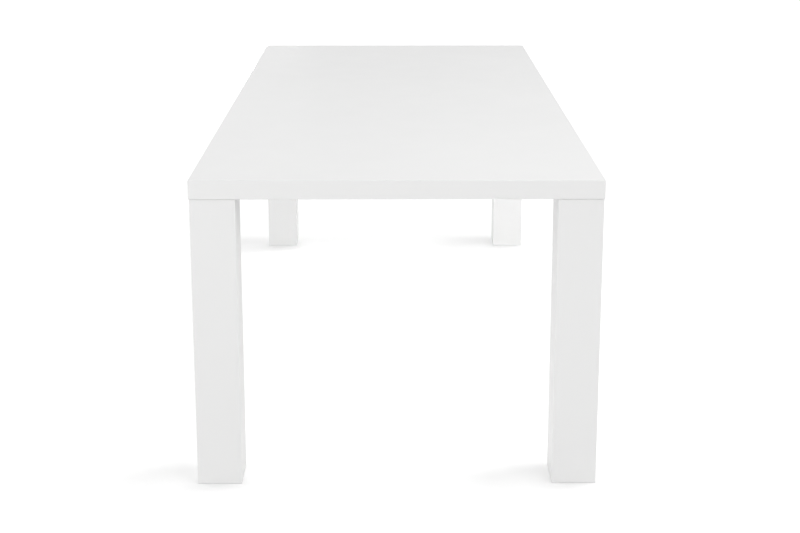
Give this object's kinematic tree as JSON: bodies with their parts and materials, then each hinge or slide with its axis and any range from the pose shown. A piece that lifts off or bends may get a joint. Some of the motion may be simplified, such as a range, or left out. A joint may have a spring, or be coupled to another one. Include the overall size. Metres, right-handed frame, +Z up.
{
  "type": "dining table",
  "caption": "Rectangular white dining table: a thick hollow-core slab flush on square box legs, with a hairline joint above each leg and screw-out levelling feet.",
  "frame": {"origin": "on the floor under the middle of the table", "axes": "+X across the table to the right as pictured, +Y along the table away from the camera, +Z up"},
  "size_m": [0.96, 2.2, 0.75],
  "materials": {
    "white_lacquer": "satin",
    "raw_board": "matte",
    "softwood": "matte",
    "honeycomb_paper": "matte",
    "plate_steel": "satin",
    "zinc_steel": "satin",
    "nylon": "matte"
  },
  "bodies": {
    "table": {"bolt_inserts": "zinc_steel", "bottom_skin": "white_lacquer", "core_front_end": "honeycomb_paper", "core_front_main": "honeycomb_paper", "core_rear_end": "honeycomb_paper", "core_rear_main": "honeycomb_paper", "corner_block_front_left": "raw_board", "corner_block_front_right": "raw_board", "corner_block_rear_left": "raw_board", "corner_block_rear_right": "raw_board", "cross_rail_front": "softwood", "cross_rail_middle": "softwood", "cross_rail_rear": "softwood", "end_rail_front": "white_lacquer", "end_rail_rear": "white_lacquer", "foot_sleeves": "zinc_steel", "leg_bolt_washers": "zinc_steel", "leg_bolts": "zinc_steel", "leg_front_left_foot_block": "raw_board", "leg_front_left_panel_front": "white_lacquer", "leg_front_left_panel_left": "white_lacquer", "leg_front_left_panel_rear": "white_lacquer", "leg_front_left_panel_right": "white_lacquer", "leg_front_left_plate": "plate_steel", "leg_front_left_top_block": "raw_board", "leg_front_right_foot_block": "raw_board", "leg_front_right_panel_front": "white_lacquer", "leg_front_right_panel_left": "white_lacquer", "leg_front_right_panel_rear": "white_lacquer", "leg_front_right_panel_right": "white_lacquer", "leg_front_right_plate": "plate_steel", "leg_front_right_top_block": "raw_board", "leg_rear_left_foot_block": "raw_board", "leg_rear_left_panel_front": "white_lacquer", "leg_rear_left_panel_left": "white_lacquer", "leg_rear_left_panel_rear": "white_lacquer", "leg_rear_left_panel_right": "white_lacquer", "leg_rear_left_plate": "plate_steel", "leg_rear_left_top_block": "raw_board", "leg_rear_right_foot_block": "raw_board", "leg_rear_right_panel_front": "white_lacquer", "leg_rear_right_panel_left": "white_lacquer", "leg_rear_right_panel_rear": "white_lacquer", "leg_rear_right_panel_right": "white_lacquer", "leg_rear_right_plate": "plate_steel", "leg_rear_right_top_block": "raw_board", "plate_screws": "zinc_steel", "side_rail_left": "white_lacquer", "side_rail_right": "white_lacquer", "top_skin": "white_lacquer"},
    "foot_front_left_base": {"foot_front_left_base": "nylon"},
    "foot_front_left_stem": {"foot_front_left_stem": "zinc_steel"},
    "foot_front_right_base": {"foot_front_right_base": "nylon"},
    "foot_front_right_stem": {"foot_front_right_stem": "zinc_steel"},
    "foot_rear_left_base": {"foot_rear_left_base": "nylon"},
    "foot_rear_left_stem": {"foot_rear_left_stem": "zinc_steel"},
    "foot_rear_right_base": {"foot_rear_right_base": "nylon"},
    "foot_rear_right_stem": {"foot_rear_right_stem": "zinc_steel"}
  },
  "joints": [
    {"name": "foot_front_left_slide", "type": "slide", "parent": "table", "child": "foot_front_left_base", "axis": [0, 0, -1], "range_m": [0, 0.015]},
    {"name": "foot_front_left_turn", "type": "hinge", "parent": "foot_front_left_base", "child": "foot_front_left_stem", "pos_m": [-0.425, -1.045, 0], "axis": [0, 0, -1], "range_deg": [0, 4320]},
    {"name": "foot_front_right_slide", "type": "slide", "parent": "table", "child": "foot_front_right_base", "axis": [0, 0, -1], "range_m": [0, 0.015]},
    {"name": "foot_front_right_turn", "type": "hinge", "parent": "foot_front_right_base", "child": "foot_front_right_stem", "pos_m": [0.425, -1.045, 0], "axis": [0, 0, -1], "range_deg": [0, 4320]},
    {"name": "foot_rear_left_slide", "type": "slide", "parent": "table", "child": "foot_rear_left_base", "axis": [0, 0, -1], "range_m": [0, 0.015]},
    {"name": "foot_rear_left_turn", "type": "hinge", "parent": "foot_rear_left_base", "child": "foot_rear_left_stem", "pos_m": [-0.425, 1.045, 0], "axis": [0, 0, -1], "range_deg": [0, 4320]},
    {"name": "foot_rear_right_slide", "type": "slide", "parent": "table", "child": "foot_rear_right_base", "axis": [0, 0, -1], "range_m": [0, 0.015]},
    {"name": "foot_rear_right_turn", "type": "hinge", "parent": "foot_rear_right_base", "child": "foot_rear_right_stem", "pos_m": [0.425, 1.045, 0], "axis": [0, 0, -1], "range_deg": [0, 4320]}
  ],
  "couplings": [
    {"joint": "foot_front_left_turn", "follows": "foot_front_left_slide", "rad_per_m": 5026.5},
    {"joint": "foot_front_right_turn", "follows": "foot_front_right_slide", "rad_per_m": 5026.5},
    {"joint": "foot_rear_left_turn", "follows": "foot_rear_left_slide", "rad_per_m": 5026.5},
    {"joint": "foot_rear_right_turn", "follows": "foot_rear_right_slide", "rad_per_m": 5026.5}
  ]
}
